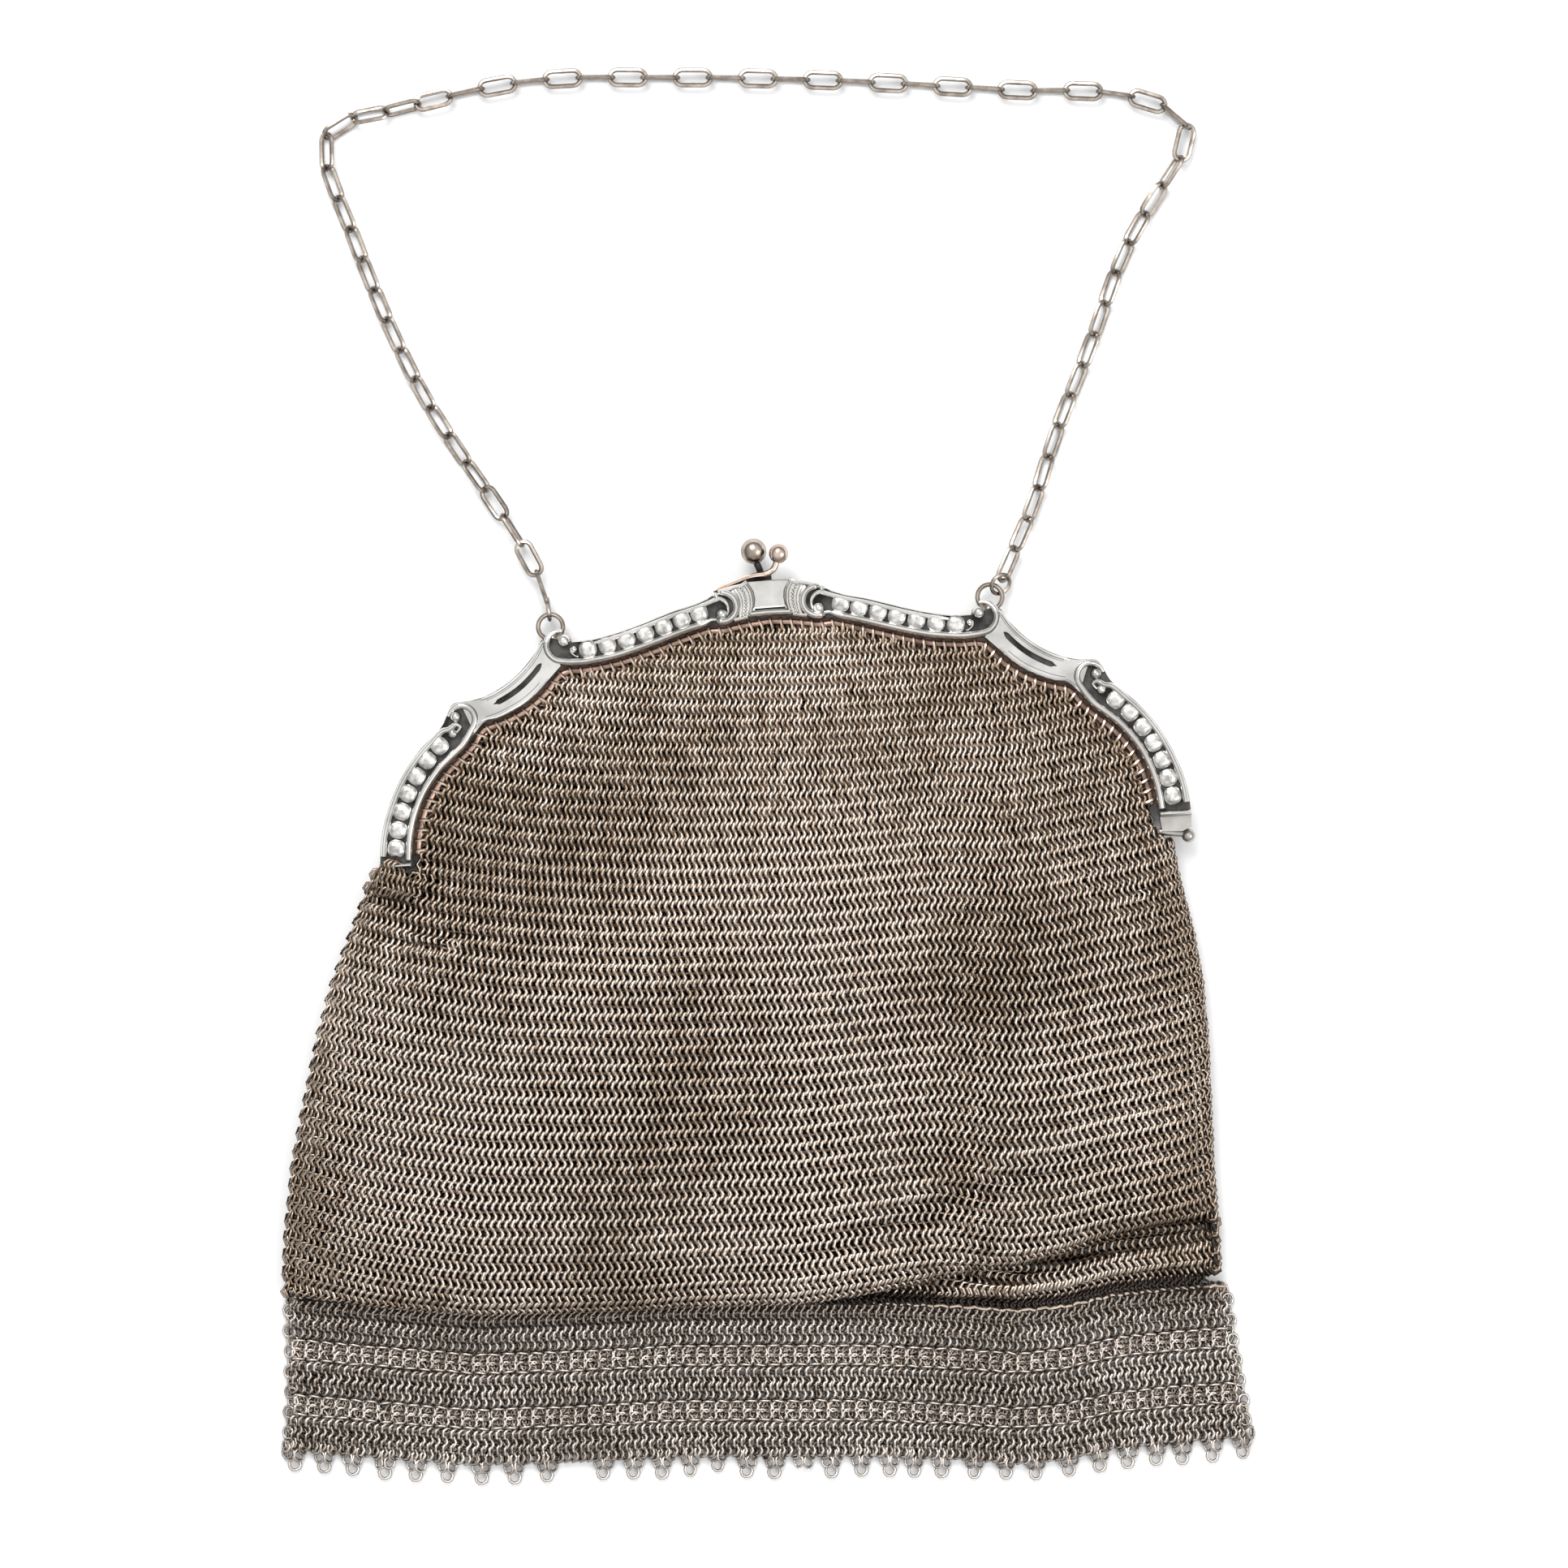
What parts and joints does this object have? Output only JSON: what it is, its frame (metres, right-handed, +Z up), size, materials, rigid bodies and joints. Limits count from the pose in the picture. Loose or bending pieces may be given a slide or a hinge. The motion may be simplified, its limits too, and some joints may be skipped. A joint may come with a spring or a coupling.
{
  "type": "metal mesh purse",
  "caption": "Silver ring-mail evening purse with a curved kiss-lock frame, bead-and-scroll relief, a fringed hem and a wrist chain, lying flat.",
  "frame": {"origin": "middle of the purse's outline, on the surface that it lies on", "axes": "+X to the right, +Y from the fringe to the top of the chain, +Z up from the surface, out of the front"},
  "size_m": [0.1566, 0.2266, 0.0104],
  "materials": {
    "frame_silver": "polished silver plate, darkened in the recesses",
    "clasp_metal": "worn silver plate with a coppery tint",
    "chain_silver": "satin silver wire, lightly tarnished",
    "mail_silver": "ring mail, warm grey with brown tarnish",
    "fringe_silver": "ring mail, cooler grey"
  },
  "bodies": {
    "root": {"frame_front": "frame_silver", "frame_back": "frame_silver", "hinge_pin_left": "frame_silver", "hinge_pin_right": "frame_silver", "clasp_spring": "clasp_metal", "jump_ring_left": "chain_silver", "jump_ring_right": "chain_silver", "mesh_bag": "mail_silver", "fringe_band": "fringe_silver", "chain": "chain_silver"}
  },
  "joints": []
}
